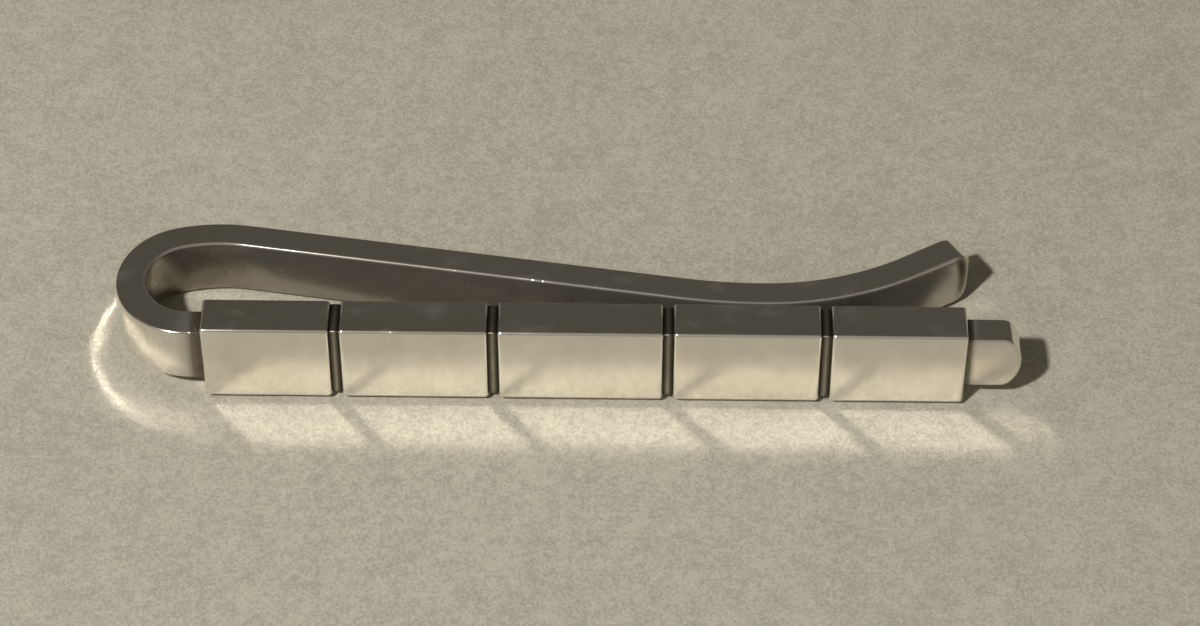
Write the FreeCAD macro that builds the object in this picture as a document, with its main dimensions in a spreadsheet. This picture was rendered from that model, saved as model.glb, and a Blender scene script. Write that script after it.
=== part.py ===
import FreeCAD, Part
import math
import os

import Sketcher
from FreeCAD import Vector

# Tie clip: a flat silver strip bent like a hairpin. Its front leg carries five blocks
# with narrow spacers between them, and its back leg is a sprung arm with a flared tip.
# X runs along the clip towards the tongue, Y from the front to the arm, Z across the strip.
# The origin is the middle of the centre block's lower side.

# Driving dimensions, in millimetres and degrees
SIZES = {
    "block_height": 5.75,
    "block_depth": 2.55,
    "side_wall": 0.925,
    "front_wall": 0.65,
    "block_edge_radius": 0.22,
    "left_end_block_length": 7.58,
    "left_middle_block_length": 8.74,
    "centre_block_length": 9.78,
    "right_middle_block_length": 8.72,
    "right_end_block_length": 8.0,
    "spacer_length": 0.62,
    "groove_depth": 0.25,
    "spacer_edge_radius": 0.12,
    "solder_gap": 0.02,
    "strip_edge_radius": 0.2,
    "end_arc_radius": 2.7,
    "tongue_corner_radius": 0.35,
    "tip_corner_radius": 1.4,
    "tongue_reach": 3.35,
    "bend_setback": 1.0,
    "bend_inside_radius": 2.63,
    "crown_start_angle": 15.0,
    "crown_inside_radius": 8.87,
    "pinch_gap": 0.94,
    "pinch_reach": 10.9,
    "throat_radius": 32.5,
    "flare_radius": 16.5,
    "flare_angle": 30.8,
    "tip_length": 4.05,
}

# Places that follow from the driving dimensions
PLACES = {
    "strip_width": "Sizes.block_height - 2 * Sizes.side_wall",
    "strip_thickness": "Sizes.block_depth - Sizes.front_wall",
    "strip_back_y": "Sizes.block_depth / 2",
    "strip_front_y": "strip_back_y - strip_thickness",
    "strip_low_z": "Sizes.side_wall",
    "left_middle_x": "-Sizes.centre_block_length / 2 - Sizes.spacer_length - Sizes.left_middle_block_length",
    "left_end_x": "left_middle_x - Sizes.spacer_length - Sizes.left_end_block_length",
    "right_middle_x": "Sizes.centre_block_length / 2 + Sizes.spacer_length",
    "right_end_x": "right_middle_x + Sizes.right_middle_block_length + Sizes.spacer_length",
    "tongue_x": "right_end_x + Sizes.right_end_block_length + Sizes.tongue_reach",
    "bend_x": "left_end_x - Sizes.bend_setback",
    "bend_y": "strip_back_y + Sizes.bend_inside_radius",
    "crown_step": "Sizes.crown_inside_radius - Sizes.bend_inside_radius",
    "crown_x": "bend_x + crown_step * sin(Sizes.crown_start_angle)",
    "crown_y": "bend_y - crown_step * cos(Sizes.crown_start_angle)",
    "pinch_back_y": "strip_back_y + Sizes.pinch_gap + strip_thickness",
    "throat_y": "pinch_back_y + Sizes.throat_radius",
    "flare_y": "pinch_back_y + Sizes.flare_radius",
    "flare_middle_radius": "Sizes.flare_radius + strip_thickness / 2",
    "flare_end_x": "Sizes.pinch_reach + flare_middle_radius * sin(Sizes.flare_angle)",
    "flare_end_y": "flare_y - flare_middle_radius * cos(Sizes.flare_angle)",
    "tip_x": "flare_end_x + Sizes.tip_length * cos(Sizes.flare_angle)",
    "tip_y": "flare_end_y + Sizes.tip_length * sin(Sizes.flare_angle)",
}

# Clear room that the cutting shapes leave around what they cut
CUT_MARGIN = 0.5
# How far the arcs at the strip's ends run past its edges
ARC_OVERRUN = 0.05
# How near a length or a place counts as the same
EDGE_TOLERANCE = 1e-6
# Two faces that turn by less than this, in radians, run smoothly into each other
SMOOTH_TURN = 0.02

doc = FreeCAD.newDocument("TieClip")
sub_parts = []


def fill_sheet(name, cells, prefix):
    """Make a sheet with one named cell per entry."""
    sheet = doc.addObject("Spreadsheet::Sheet", name)
    for row, (alias, content) in enumerate(cells.items(), start=1):
        sheet.set(f"A{row}", alias)
        sheet.set(f"B{row}", f"{prefix}{content}")
        sheet.setAlias(f"B{row}", alias)
    doc.recompute()
    return sheet


sizes = fill_sheet("Sizes", SIZES, "")
places = fill_sheet("Places", PLACES, "=")


def size(alias):
    """A driving dimension, or a place that follows from them, as a number."""
    sheet = sizes if alias in SIZES else places
    return float(getattr(sheet, alias))


def bound(alias):
    """The same value as an expression."""
    return f"Sizes.{alias}" if alias in SIZES else f"Places.{alias}"


def new_body(name):
    """An empty body whose label names its file."""
    body = doc.addObject("PartDesign::Body", name)
    body.Label = name
    return body


def new_sketch(body, name, plane):
    """A sketch on one of the body's own origin planes."""
    sketch = body.newObject("Sketcher::SketchObject", name)
    support = [feature for feature in body.Origin.OriginFeatures if feature.Role == plane]
    sketch.AttachmentSupport = [(support[0], "")]
    sketch.MapMode = "FlatFace"
    return sketch


def set_size(sketch, label, constraint, expression):
    """Add a dimension to a sketch and bind it."""
    index = sketch.addConstraint(constraint)
    sketch.renameConstraint(index, label)
    sketch.setExpression(f"Constraints.{label}", expression)


def pad(body, sketch, name, length):
    """Pad a sketch by a bound length."""
    feature = body.newObject("PartDesign::Pad", name)
    feature.Profile = sketch
    feature.setExpression("Length", length)
    doc.recompute()
    return feature


def round_edges(body, base, name, edges, radius):
    """Fillet the chosen edges of a feature by a bound radius."""
    feature = body.newObject("PartDesign::Fillet", name)
    feature.Base = (base, edges)
    feature.setExpression("Radius", bound(radius))
    doc.recompute()
    return feature


def face_normal(face, point):
    """The outward normal of a face at a point on it."""
    return face.normalAt(*face.Surface.parameter(point))


def sharp_edges(shape):
    """Names of the edges where two faces meet at an angle."""
    names = []
    for number, edge in enumerate(shape.Edges, start=1):
        first, last = edge.ParameterRange
        middle = edge.valueAt((first + last) / 2)
        faces = shape.ancestorsOfType(edge, Part.Face)
        turn = face_normal(faces[0], middle).getAngle(face_normal(faces[-1], middle))
        if turn > SMOOTH_TURN:
            names.append(f"Edge{number}")
    return names


# The strip's outline, seen from above

def polar(centre, radius, angle):
    """The point at an angle in degrees on a circle."""
    turn = math.radians(angle)
    return centre + Vector(radius * math.cos(turn), radius * math.sin(turn), 0)


def arc(centre, radius, start, end):
    """A counter-clockwise arc between two angles in degrees."""
    circle = Part.Circle(centre, Vector(0, 0, 1), radius)
    return Part.ArcOfCircle(circle, math.radians(start), math.radians(end))


def strip_outline(sketch):
    """Draw both sides of the strip, the leg, bend, crown, straight arm, throat, flare and tip."""
    thickness = size("strip_thickness")
    bend = Vector(size("bend_x"), size("bend_y"), 0)
    crown = Vector(size("crown_x"), size("crown_y"), 0)
    throat = Vector(size("pinch_reach"), size("throat_y"), 0)
    flare = Vector(size("pinch_reach"), size("flare_y"), 0)
    reach = throat - crown
    tangent_sum = size("crown_inside_radius") + size("throat_radius") + thickness
    slope = math.degrees(math.asin(tangent_sum / reach.Length) - math.atan2(reach.y, reach.x))
    rise = size("crown_start_angle")
    lift = size("flare_angle")
    tip_step = polar(Vector(), size("tip_length"), lift)
    sides = []
    for outer in (True, False):
        bulge = thickness if outer else 0
        hollow = 0 if outer else thickness
        leg_y = size("strip_front_y") if outer else size("strip_back_y")
        bend_radius = size("bend_inside_radius") + bulge
        crown_radius = size("crown_inside_radius") + bulge
        throat_radius = size("throat_radius") + hollow
        flare_radius = size("flare_radius") + hollow
        arm_start = polar(crown, crown_radius, 90 - slope)
        arm_end = polar(throat, throat_radius, -90 - slope)
        tip_start = polar(flare, flare_radius, lift - 90)
        sides.append(sketch.addGeometry([
            Part.LineSegment(Vector(size("tongue_x"), leg_y, 0), Vector(bend.x, leg_y, 0)),
            arc(bend, bend_radius, 90 + rise, 270),
            arc(crown, crown_radius, 90 - slope, 90 + rise),
            Part.LineSegment(arm_start, arm_end),
            arc(throat, throat_radius, -90 - slope, -90),
            arc(flare, flare_radius, -90, lift - 90),
            Part.LineSegment(tip_start, tip_start + tip_step),
        ], False))
    caps = []
    for line, point in ((0, "StartPoint"), (6, "EndPoint")):
        ends = [getattr(sketch.Geometry[side[line]], point) for side in sides]
        caps.append(sketch.addGeometry(Part.LineSegment(*ends), False))
    return sides, caps


def constrain_outline(sketch, sides, caps):
    """Join the outline smoothly and bind its dimensions."""
    start, end, centre = 1, 2, 3
    # Pairs of neighbouring pieces along a side, with the ends that meet
    joins = ((0, end, 1, end), (1, start, 2, end), (2, start, 3, start),
             (3, end, 4, start), (4, end, 5, start), (5, end, 6, start))
    for side in sides:
        for first, first_end, second, second_end in joins:
            sketch.addConstraint(Sketcher.Constraint(
                "Tangent", side[first], first_end, side[second], second_end))
        sketch.addConstraint(Sketcher.Constraint("Horizontal", side[0]))
    outer, inner = sides
    for bent in (1, 2, 4, 5):
        sketch.addConstraint(Sketcher.Constraint("Coincident", outer[bent], centre, inner[bent], centre))
    for cap, line, line_end in ((caps[0], 0, start), (caps[1], 6, end)):
        sketch.addConstraint(Sketcher.Constraint("Coincident", cap, start, outer[line], line_end))
        sketch.addConstraint(Sketcher.Constraint("Coincident", cap, end, inner[line], line_end))
    sketch.addConstraint(Sketcher.Constraint("Vertical", caps[0]))
    sketch.addConstraint(Sketcher.Constraint("Perpendicular", caps[1], outer[6]))
    sketch.addConstraint(Sketcher.Constraint("Parallel", outer[6], inner[6]))
    # The throat turns into the flare at the pinch, where the arm runs along the bar
    sketch.addConstraint(Sketcher.Constraint("Vertical", outer[4], end, outer[4], centre))

    origin = (-1, 1)
    for label, kind, piece, point, alias in (
            ("leg_front", "DistanceY", outer[0], start, "strip_front_y"),
            ("leg_back", "DistanceY", inner[0], start, "strip_back_y"),
            ("tongue_end", "DistanceX", outer[0], start, "tongue_x"),
            ("bend_place", "DistanceX", inner[1], centre, "bend_x"),
            ("throat_place", "DistanceX", outer[4], centre, "pinch_reach"),
            ("throat_height", "DistanceY", outer[4], centre, "throat_y")):
        set_size(sketch, label, Sketcher.Constraint(kind, *origin, piece, point, size(alias)), bound(alias))
    for label, piece, alias in (
            ("bend_radius", inner[1], "bend_inside_radius"),
            ("crown_radius", inner[2], "crown_inside_radius"),
            ("throat_radius", outer[4], "throat_radius"),
            ("flare_radius", outer[5], "flare_radius")):
        set_size(sketch, label, Sketcher.Constraint("Radius", piece, size(alias)), bound(alias))
    for label, piece, alias in (
            ("tip_thickness", caps[1], "strip_thickness"),
            ("tip_length", outer[6], "tip_length")):
        set_size(sketch, label, Sketcher.Constraint("Distance", piece, size(alias)), bound(alias))
    half_turn = 180
    bend_sweep = math.radians(half_turn - size("crown_start_angle"))
    set_size(sketch, "bend_sweep", Sketcher.Constraint("Angle", inner[1], bend_sweep),
             f"{half_turn} - Sizes.crown_start_angle")
    set_size(sketch, "flare_sweep", Sketcher.Constraint("Angle", outer[5], math.radians(size("flare_angle"))),
             "Sizes.flare_angle")


def round_end(body, name, end_x, end_y, angle):
    """Cut one end of the strip to an arc, seen along its thickness."""
    sketch = new_sketch(body, f"{name}Arc", "XZ_Plane")
    sketch.AttachmentOffset = FreeCAD.Placement(Vector(), FreeCAD.Rotation(Vector(0, 1, 0), 0))
    sketch.setExpression("AttachmentOffset.Base.x", end_x)
    sketch.setExpression("AttachmentOffset.Base.z", f"-({end_y})")
    sketch.setExpression("AttachmentOffset.Rotation.Angle", angle)
    radius = size("end_arc_radius")
    middle = size("block_height") / 2
    reach = size("strip_width") / 2 + ARC_OVERRUN
    lean = math.degrees(math.asin(reach / radius))
    curve = arc(Vector(-radius, middle, 0), radius, -lean, lean)
    low, high = curve.StartPoint, curve.EndPoint
    low_corner = Vector(CUT_MARGIN, low.y, 0)
    high_corner = Vector(CUT_MARGIN, high.y, 0)
    sketch.addGeometry([curve, Part.LineSegment(low, low_corner), Part.LineSegment(low_corner, high_corner),
                        Part.LineSegment(high_corner, high)], False)
    for first, first_end, second, second_end in ((0, 1, 1, 1), (1, 2, 2, 1), (2, 2, 3, 1), (3, 2, 0, 2)):
        sketch.addConstraint(Sketcher.Constraint("Coincident", first, first_end, second, second_end))
    sketch.addConstraint(Sketcher.Constraint("Horizontal", 1))
    sketch.addConstraint(Sketcher.Constraint("Vertical", 2))
    sketch.addConstraint(Sketcher.Constraint("Horizontal", 3))
    set_size(sketch, "end_radius", Sketcher.Constraint("Radius", 0, radius), bound("end_arc_radius"))
    set_size(sketch, "centre_x", Sketcher.Constraint("DistanceX", -1, 1, 0, 3, -radius),
             "-Sizes.end_arc_radius")
    set_size(sketch, "centre_z", Sketcher.Constraint("DistanceY", -1, 1, 0, 3, middle),
             "Sizes.block_height / 2")
    set_size(sketch, "cut_width", Sketcher.Constraint("DistanceY", 2, 1, 2, 2, 2 * reach),
             f"Places.strip_width + {2 * ARC_OVERRUN}")
    set_size(sketch, "cut_low", Sketcher.Constraint("DistanceY", -1, 1, 2, 1, middle - reach),
             f"Places.strip_low_z - {ARC_OVERRUN}")
    set_size(sketch, "cut_end", Sketcher.Constraint("DistanceX", -1, 1, 2, 1, CUT_MARGIN), f"{CUT_MARGIN}")
    doc.recompute()
    before = body.Shape.Volume
    pocket = body.newObject("PartDesign::Pocket", f"{name}Cut")
    pocket.Profile = sketch
    pocket.Midplane = True
    pocket.setExpression("Length", f"Places.strip_thickness + {2 * CUT_MARGIN}")
    doc.recompute()
    if body.Shape.Volume >= before:
        raise RuntimeError(f"{name} was not rounded")
    return pocket


def end_corners(shape, at_tip):
    """Names of the edges at the two corners of the strip's tip, or of its tongue."""
    low = size("strip_low_z")
    high = low + size("strip_width")
    between_y = size("strip_back_y") + size("pinch_gap") / 2
    names = []
    for number, edge in enumerate(shape.Edges, start=1):
        flat = all(min(abs(v.Z - low), abs(v.Z - high)) < EDGE_TOLERANCE for v in edge.Vertexes)
        across = abs(edge.Length - size("strip_thickness")) < EDGE_TOLERANCE
        behind = edge.CenterOfMass.y > between_y
        if flat and across and isinstance(edge.Curve, Part.Line) and behind == at_tip:
            names.append(f"Edge{number}")
    return names


def formed_strip():
    """The whole strip, bent, with rounded ends and eased edges."""
    body = new_body("formed_strip")
    sketch = new_sketch(body, "StripOutline", "XY_Plane")
    sketch.setExpression("AttachmentOffset.Base.z", bound("strip_low_z"))
    sides, caps = strip_outline(sketch)
    constrain_outline(sketch, sides, caps)
    doc.recompute()
    pad(body, sketch, "StripPad", bound("strip_width"))
    round_end(body, "Tongue", bound("tongue_x"), "Places.strip_back_y - Places.strip_thickness / 2", "0")
    ends = round_end(body, "Tip", bound("tip_x"), bound("tip_y"), bound("flare_angle"))
    tongue = round_edges(body, ends, "TongueCorners", end_corners(ends.Shape, False), "tongue_corner_radius")
    eased = round_edges(body, tongue, "TipCorners", end_corners(tongue.Shape, True), "tip_corner_radius")
    rims = sharp_edges(eased.Shape)
    round_edges(body, eased, "StripEdges", rims, "strip_edge_radius")
    return body


def zone(name, low_x, width, low_y, depth):
    """A box that takes one stretch of the strip, with room to spare above and below."""
    box = doc.addObject("Part::Box", name)
    box.setExpression("Length", width)
    box.setExpression("Width", depth)
    box.setExpression("Height", f"Sizes.block_height + {2 * CUT_MARGIN}")
    box.setExpression("Placement.Base.x", low_x)
    box.setExpression("Placement.Base.y", low_y)
    box.Placement.Base.z = -CUT_MARGIN
    return box


def boolean(kind, name, base, tool):
    """Keep or remove what two shapes share."""
    result = doc.addObject(f"Part::{kind}", name)
    result.Label = name
    result.Base = base
    result.Tool = tool
    return result


def strip_pieces():
    """The strip's leg, bend and arm, parted where the bend starts and at the top of its crown."""
    strip = formed_strip()
    between_y = "Places.strip_back_y + Sizes.pinch_gap / 2"
    leg_low_y = f"Places.strip_front_y - {CUT_MARGIN}"
    leg_zone = zone("leg_zone", bound("bend_x"), f"Places.tongue_x - Places.bend_x + {CUT_MARGIN}",
                    leg_low_y, f"{between_y} - ({leg_low_y})")
    arm_length = "Places.tip_x - Places.crown_x + Places.strip_thickness"
    arm_depth = "2 * Sizes.bend_inside_radius + Places.tip_y + 2 * Places.strip_thickness"
    arm_zone = zone("arm_zone", bound("crown_x"), arm_length, between_y, arm_depth)
    sub_parts.append(boolean("Common", "front_strip", strip, leg_zone))
    sub_parts.append(boolean("Common", "spring_arm", strip, arm_zone))
    legless = boolean("Cut", "bend_and_arm", strip, leg_zone)
    sub_parts.append(boolean("Cut", "hairpin_bend", legless, arm_zone))


# The blocks and spacers, saddles that sit over the front leg

def outer_edges(shape, ends_too):
    """Names of a saddle's outside edges, without those of its back and, if asked, of its two ends."""
    box = shape.BoundBox
    names = []
    for number, edge in enumerate(shape.Edges, start=1):
        middle = edge.CenterOfMass
        on_end = min(middle.x - box.XMin, box.XMax - middle.x) < EDGE_TOLERANCE
        on_front = middle.y - box.YMin < EDGE_TOLERANCE
        on_top = min(middle.z - box.ZMin, box.ZMax - middle.z) < EDGE_TOLERANCE
        outside = on_end + on_front + on_top == 2
        if outside and (ends_too or not on_end):
            names.append(f"Edge{number}")
    return names


def saddle(name, length, place, recess, ends_too, radius):
    """A bar with a channel for the strip and eased edges, its back filed flush with the strip."""
    body = new_body(name)
    body.setExpression("Placement.Base.x", place)
    sketch = new_sketch(body, f"{name}_section", "YZ_Plane")
    sunk = size(recess) if recess else 0
    sunk_expression = bound(recess) if recess else "0"
    back = size("strip_back_y")
    front = sunk - size("block_depth") / 2
    high = size("block_height") - sunk
    floor = size("strip_front_y") - size("solder_gap")
    channel_low = size("strip_low_z") - size("solder_gap")
    channel_high = size("block_height") - channel_low
    corners = [Vector(front, sunk, 0), Vector(back, sunk, 0), Vector(back, channel_low, 0),
               Vector(floor, channel_low, 0), Vector(floor, channel_high, 0), Vector(back, channel_high, 0),
               Vector(back, high, 0), Vector(front, high, 0)]
    count = len(corners)
    for number, corner in enumerate(corners):
        sketch.addGeometry(Part.LineSegment(corner, corners[(number + 1) % count]), False)
    for number in range(count):
        sketch.addConstraint(Sketcher.Constraint("Coincident", number, 2, (number + 1) % count, 1))
        direction = "Horizontal" if number % 2 == 0 else "Vertical"
        sketch.addConstraint(Sketcher.Constraint(direction, number))
    for label, kind, line, value, expression in (
            ("low", "DistanceY", 0, sunk, sunk_expression),
            ("back", "DistanceX", 1, back, "Places.strip_back_y"),
            ("channel_low", "DistanceY", 2, channel_low, "Places.strip_low_z - Sizes.solder_gap"),
            ("floor", "DistanceX", 3, floor, "Places.strip_front_y - Sizes.solder_gap"),
            ("channel_high", "DistanceY", 4, channel_high,
             "Sizes.block_height - Places.strip_low_z + Sizes.solder_gap"),
            ("rim", "DistanceX", 5, back, "Places.strip_back_y"),
            ("high", "DistanceY", 6, high, f"Sizes.block_height - {sunk_expression}"),
            ("front", "DistanceX", 7, front, f"{sunk_expression} - Sizes.block_depth / 2")):
        line_end = 2 if line % 2 == 0 else 1
        set_size(sketch, label, Sketcher.Constraint(kind, -1, 1, line, line_end, value), expression)
    doc.recompute()
    bar = pad(body, sketch, f"{name}_bar", length)
    round_edges(body, bar, f"{name}_edges", outer_edges(bar.Shape, ends_too), radius)
    sub_parts.append(body)


def blocks_and_spacers():
    """Five blocks and the four spacers between them, from left to right."""
    block_places = {
        "left_end_block": "Places.left_end_x",
        "left_middle_block": "Places.left_middle_x",
        "centre_block": "-Sizes.centre_block_length / 2",
        "right_middle_block": "Places.right_middle_x",
        "right_end_block": "Places.right_end_x",
    }
    for name, place in block_places.items():
        saddle(name, f"Sizes.{name}_length", place, None, True, "block_edge_radius")
    spacer_ends = {
        "first_spacer": "Places.left_middle_x",
        "second_spacer": "-Sizes.centre_block_length / 2",
        "third_spacer": "Places.right_middle_x",
        "fourth_spacer": "Places.right_end_x",
    }
    for name, end in spacer_ends.items():
        place = f"{end} - Sizes.spacer_length"
        saddle(name, bound("spacer_length"), place, "groove_depth", False, "spacer_edge_radius")


def write_pieces():
    """Test every object, then write one file for each piece."""
    doc.recompute()
    for item in doc.Objects:
        if {"Invalid", "Error"} & set(item.State):
            raise RuntimeError(f"{item.Label} failed")
    os.makedirs("parts", exist_ok=True)
    for piece in sub_parts:
        shape = piece.Shape
        if shape.isNull() or not shape.isValid() or len(shape.Solids) != 1:
            raise RuntimeError(f"{piece.Label} is not one valid solid")
    for piece in sub_parts:
        piece.Shape.Solids[0].exportStep(f"parts/{piece.Label}.step")


strip_pieces()
blocks_and_spacers()
write_pieces()
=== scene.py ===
"""Looks of a silver tie clip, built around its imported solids.

Lengths in the dataclasses are in millimetres, as in the part's own drawing. Meshes are in metres,
in the frame of the solids: X along the clip towards the tongue, Y from the front faces to the
spring arm, Z up.
"""

import logging
import math
from collections.abc import Callable, Mapping, Sequence
from dataclasses import dataclass, field
from enum import Enum
from typing import Any

import bmesh
import bpy
from mathutils import Matrix, Vector


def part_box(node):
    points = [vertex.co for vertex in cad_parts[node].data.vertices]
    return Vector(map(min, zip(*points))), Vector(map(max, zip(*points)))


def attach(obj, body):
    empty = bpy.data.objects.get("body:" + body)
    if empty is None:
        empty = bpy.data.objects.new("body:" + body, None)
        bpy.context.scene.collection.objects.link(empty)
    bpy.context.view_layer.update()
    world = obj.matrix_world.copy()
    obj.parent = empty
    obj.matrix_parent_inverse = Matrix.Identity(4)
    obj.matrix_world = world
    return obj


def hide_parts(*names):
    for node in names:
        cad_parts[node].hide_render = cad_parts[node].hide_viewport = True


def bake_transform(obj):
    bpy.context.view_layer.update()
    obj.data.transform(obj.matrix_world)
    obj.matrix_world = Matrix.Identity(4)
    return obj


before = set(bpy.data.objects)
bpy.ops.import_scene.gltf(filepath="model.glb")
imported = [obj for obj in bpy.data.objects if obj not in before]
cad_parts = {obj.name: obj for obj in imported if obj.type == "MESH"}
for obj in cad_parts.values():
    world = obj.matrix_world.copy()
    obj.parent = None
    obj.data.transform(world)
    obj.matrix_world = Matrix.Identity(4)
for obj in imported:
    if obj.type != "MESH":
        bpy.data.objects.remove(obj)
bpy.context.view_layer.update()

MM = 0.001
WELD_DISTANCE = 1e-8
IMAGE_WIDTH = 1200
LOG = logging.getLogger("tie_clip")

Pair = tuple[float, float]
Triple = tuple[float, float, float]
Colour = Triple
Outline = Callable[[float], Pair]


class Body(Enum):
    """The two bodies of the clip."""

    BAR = "bar"
    ARM = "arm"


class Slot(Enum):
    """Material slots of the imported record."""

    POLISHED = "polished_silver"
    OXIDISED = "oxidised_silver"


class EndShape(Enum):
    """How a piece of the strip ends."""

    CUT = "cut"
    TONGUE = "an arc with small corners"
    TIP = "an arc with large corners"


class Turn(Enum):
    """Which way the strip's middle line turns, as a sign on its heading."""

    LEFT = 1
    RIGHT = -1


# Node trees


@dataclass(frozen=True)
class Pattern:
    """Fractal noise on object coordinates, or a mask made of it.

    The scale is in units of the pattern per metre along each axis, and the turn is in degrees. Over
    the span, where there is one, the mask rises from 0 to 1.
    """

    scale: Triple
    detail: float = 2.0
    turn: Triple = (0.0, 0.0, 0.0)
    span: Pair | None = None


class Signal:
    """A number in a node tree, on which Python's operators add Math nodes."""

    def __init__(self, graph: "Graph", socket: bpy.types.NodeSocket) -> None:
        """Wrap an output socket of a graph."""
        self.graph = graph
        self.socket = socket

    def _math(self, operation: str, *operands: "Operand") -> "Signal":
        """Add one Math node.

        Args:
            operation: Blender's name of the operation.
            operands: its inputs, in order.

        Returns:
            The node's result.
        """
        sockets = dict(enumerate(operands))
        return self.graph.signal(self.graph.MATH, {"operation": operation}, sockets)

    def __add__(self, other: "Operand") -> "Signal":
        """Sum."""
        return self._math("ADD", self, other)

    def __radd__(self, other: "Operand") -> "Signal":
        """Sum, with the signal on the right."""
        return self._math("ADD", other, self)

    def __sub__(self, other: "Operand") -> "Signal":
        """Difference."""
        return self._math("SUBTRACT", self, other)

    def __rsub__(self, other: "Operand") -> "Signal":
        """Difference, with the signal on the right."""
        return self._math("SUBTRACT", other, self)

    def __mul__(self, other: "Operand") -> "Signal":
        """Product."""
        return self._math("MULTIPLY", self, other)

    def __rmul__(self, other: "Operand") -> "Signal":
        """Product, with the signal on the right."""
        return self._math("MULTIPLY", other, self)

    def at_least(self, other: "Operand") -> "Signal":
        """The larger of two values."""
        return self._math("MAXIMUM", self, other)

    def at_most(self, other: "Operand") -> "Signal":
        """The smaller of two values."""
        return self._math("MINIMUM", self, other)

    def within(self, low: float, high: float) -> "Signal":
        """Rise smoothly from 0 to 1 as the value goes from low to high."""
        smooth = {"interpolation_type": "SMOOTHSTEP"}
        sockets = {"Value": self, "From Min": low, "From Max": high, "To Min": 0.0, "To Max": 1.0}
        return self.graph.signal("ShaderNodeMapRange", smooth, sockets, "Result")


Operand = Signal | float


class Graph:
    """A node tree, filled through one method for every node."""

    MATH = "ShaderNodeMath"
    NOISE_ROUGHNESS = 0.55

    def __init__(self, tree: bpy.types.NodeTree) -> None:
        """Empty a tree and take it over."""
        self.tree = tree
        tree.nodes.clear()

    def feed(self, socket: bpy.types.NodeSocket, value: Any) -> None:
        """Link a signal or a socket into an input, or set its plain value.

        Args:
            socket: the input.
            value: a signal, an output socket or a plain value.
        """
        source = value.socket if isinstance(value, Signal) else value
        if isinstance(source, bpy.types.NodeSocket):
            self.tree.links.new(source, socket)
        else:
            socket.default_value = source

    def node(
        self,
        kind: str,
        settings: Mapping[str, Any] | None = None,
        sockets: Mapping[str | int, Any] | None = None,
    ) -> bpy.types.Node:
        """Add a node.

        Args:
            kind: Blender's name of the node's type.
            settings: the node's own properties, set first.
            sockets: values or links of its inputs, by name or number.

        Returns:
            The new node.
        """
        node = self.tree.nodes.new(kind)
        for name, value in (settings or {}).items():
            setattr(node, name, value)
        for key, value in (sockets or {}).items():
            self.feed(node.inputs[key], value)
        return node

    def signal(
        self,
        kind: str,
        settings: Mapping[str, Any] | None = None,
        sockets: Mapping[str | int, Any] | None = None,
        output: str | int = 0,
    ) -> Signal:
        """Add a node and wrap one of its outputs."""
        return Signal(self, self.node(kind, settings, sockets).outputs[output])

    def mixed(self, share: Operand, first: Any, second: Any) -> bpy.types.NodeSocket:
        """Mix two colours.

        Args:
            share: how much of the second colour there is.
            first: a colour or a colour socket.
            second: a colour or a colour socket.

        Returns:
            The mixed colour's socket.
        """
        share_input, first_input, second_input, colour_output = 0, 6, 7, 2
        mix = self.node("ShaderNodeMix", {"data_type": "RGBA"})
        self.feed(mix.inputs[share_input], share)
        for number, colour in ((first_input, first), (second_input, second)):
            value = colour if isinstance(colour, bpy.types.NodeSocket) else (*colour, 1.0)
            self.feed(mix.inputs[number], value)
        return mix.outputs[colour_output]

    def stretched(self, scale: Triple, turn: Triple = (0.0, 0.0, 0.0)) -> bpy.types.NodeSocket:
        """Object coordinates, turned and scaled.

        Args:
            scale: how many units of the pattern there are in a metre, along each axis.
            turn: turn about each axis, in degrees.

        Returns:
            The vector's socket.
        """
        place = self.node("ShaderNodeTexCoord").outputs["Object"]
        angles = tuple(math.radians(angle) for angle in turn)
        mapping = self.node(
            "ShaderNodeMapping",
            {"vector_type": "POINT"},
            {"Vector": place, "Rotation": angles, "Scale": scale},
        )
        return mapping.outputs["Vector"]

    def noise(self, pattern: Pattern) -> Signal:
        """Add a noise pattern.

        Args:
            pattern: what the noise is like.

        Returns:
            Noise about 0.5 in the middle, or the mask that the pattern's span makes of it.
        """
        sockets = {
            "Vector": self.stretched(pattern.scale, pattern.turn),
            "Scale": 1.0,
            "Detail": pattern.detail,
            "Roughness": self.NOISE_ROUGHNESS,
        }
        noise = self.signal("ShaderNodeTexNoise", {"noise_dimensions": "3D"}, sockets)
        return noise.within(*pattern.span) if pattern.span else noise

    def attribute(self, name: str) -> Signal:
        """A number that the mesh holds at each vertex."""
        return self.signal("ShaderNodeAttribute", {"attribute_name": name}, None, "Fac")

    def surface(self, relief: Signal, sockets: Mapping[str, Any]) -> None:
        """End a material's tree with its shader.

        Args:
            relief: height of the relief in millimetres.
            sockets: values or links of the shader's inputs, by name.
        """
        height = {"Strength": 1.0, "Distance": MM, "Height": relief}
        normal = self.node("ShaderNodeBump", None, height).outputs["Normal"]
        shader = self.node("ShaderNodeBsdfPrincipled", None, {**sockets, "Normal": normal})
        self.node("ShaderNodeOutputMaterial", None, {"Surface": shader.outputs["BSDF"]})


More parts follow.
